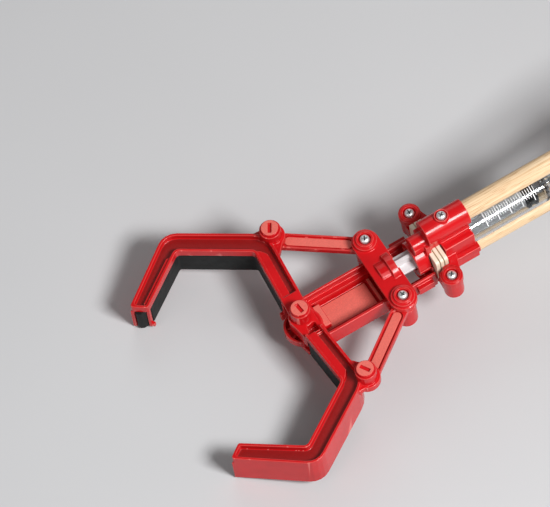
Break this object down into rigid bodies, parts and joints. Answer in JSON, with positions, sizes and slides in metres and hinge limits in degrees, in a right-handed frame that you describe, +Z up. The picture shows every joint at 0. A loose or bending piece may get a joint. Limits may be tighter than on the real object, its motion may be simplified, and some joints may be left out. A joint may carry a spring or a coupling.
{
  "type": "toy hydraulic gripper arm",
  "caption": "Hand-held toy gripper arm: two syringes joined by a water-filled tube, pushed at the handle, close a pair of bent red claws through links on a wooden dowel frame.",
  "frame": {"origin": "middle of the resting footprint, on the table under the box's centre", "axes": "+X from the handle to the claws, +Y across the claws, +Z up from the table; the arm itself is nose down by 9.62 degrees, because it rests on the claw tips and the large finger ring"},
  "size_m": [0.4514, 0.1422, 0.1143],
  "materials": {
    "red_plastic": "glossy moulded plastic",
    "black_rubber": "matte",
    "screw_steel": "bright zinc",
    "wood": "sanded, unvarnished",
    "clear_plastic": "clear moulded plastic",
    "milky_plastic": "translucent white",
    "water": "clear liquid"
  },
  "bodies": {
    "arm_frame": {"frame": "red_plastic", "bracket_top": "red_plastic", "middle_bracket": "red_plastic", "handle": "red_plastic", "dowel_upper": "wood", "dowel_lower": "wood", "claw_pivot_pin": "red_plastic", "bracket_screw_left": "screw_steel", "bracket_screw_right": "screw_steel", "clamp_screw_upper": "screw_steel", "clamp_screw_lower": "screw_steel", "handle_screw_upper_front": "screw_steel", "handle_screw_upper_rear": "screw_steel", "handle_screw_lower_front": "screw_steel", "handle_screw_lower_rear": "screw_steel", "front_barrel": "clear_plastic", "rear_barrel": "clear_plastic", "tube": "clear_plastic", "tube_water": "water"},
    "left_claw": {"claw_left": "red_plastic", "grip_strip_left": "black_rubber", "link_pin_left": "red_plastic"},
    "right_claw": {"claw_right": "red_plastic", "grip_strip_right": "black_rubber", "link_pin_right": "red_plastic"},
    "left_link": {"link_left": "red_plastic"},
    "right_link": {"link_right": "red_plastic"},
    "crosshead": {"crosshead_top": "red_plastic", "crosshead_bottom": "red_plastic", "crosshead_screw_left": "screw_steel", "crosshead_screw_right": "screw_steel", "front_plunger": "milky_plastic", "front_seal": "black_rubber"},
    "hand_plunger": {"rear_plunger": "milky_plastic", "rear_seal": "black_rubber", "thumb_cap": "red_plastic"}
  },
  "joints": [
    {"name": "thumb_push", "type": "slide", "parent": "arm_frame", "child": "hand_plunger", "axis": [0.9859, 0, -0.1671], "range_m": [0, 0.02625]},
    {"name": "crosshead_slide", "type": "slide", "parent": "arm_frame", "child": "crosshead", "axis": [0.9859, 0, -0.1671], "range_m": [0, 0.02625]},
    {"name": "left_claw_swing", "type": "hinge", "parent": "arm_frame", "child": "left_claw", "pos_m": [0.16, 0, 0.02248], "axis": [0.1671, 0, 0.9859], "range_deg": [-34, 0]},
    {"name": "right_claw_swing", "type": "hinge", "parent": "arm_frame", "child": "right_claw", "pos_m": [0.16, 0, 0.02248], "axis": [0.1671, 0, 0.9859], "range_deg": [0, 34]},
    {"name": "left_link_swing", "type": "hinge", "parent": "left_claw", "child": "left_link", "pos_m": [0.15033, 0.0446, 0.02412], "axis": [0.1671, 0, 0.9859], "range_deg": [0, 32.75]},
    {"name": "right_link_swing", "type": "hinge", "parent": "right_claw", "child": "right_link", "pos_m": [0.15033, -0.0446, 0.02412], "axis": [0.1671, 0, 0.9859], "range_deg": [-32.75, 0]}
  ],
  "couplings": [
    {"joint": "crosshead_slide", "follows": "thumb_push", "ratio": 1},
    {"joint": "left_claw_swing", "follows": "thumb_push", "rad_per_m": -22.606},
    {"joint": "right_claw_swing", "follows": "thumb_push", "rad_per_m": 22.606},
    {"joint": "left_link_swing", "follows": "thumb_push", "rad_per_m": 21.775},
    {"joint": "right_link_swing", "follows": "thumb_push", "rad_per_m": -21.775}
  ]
}
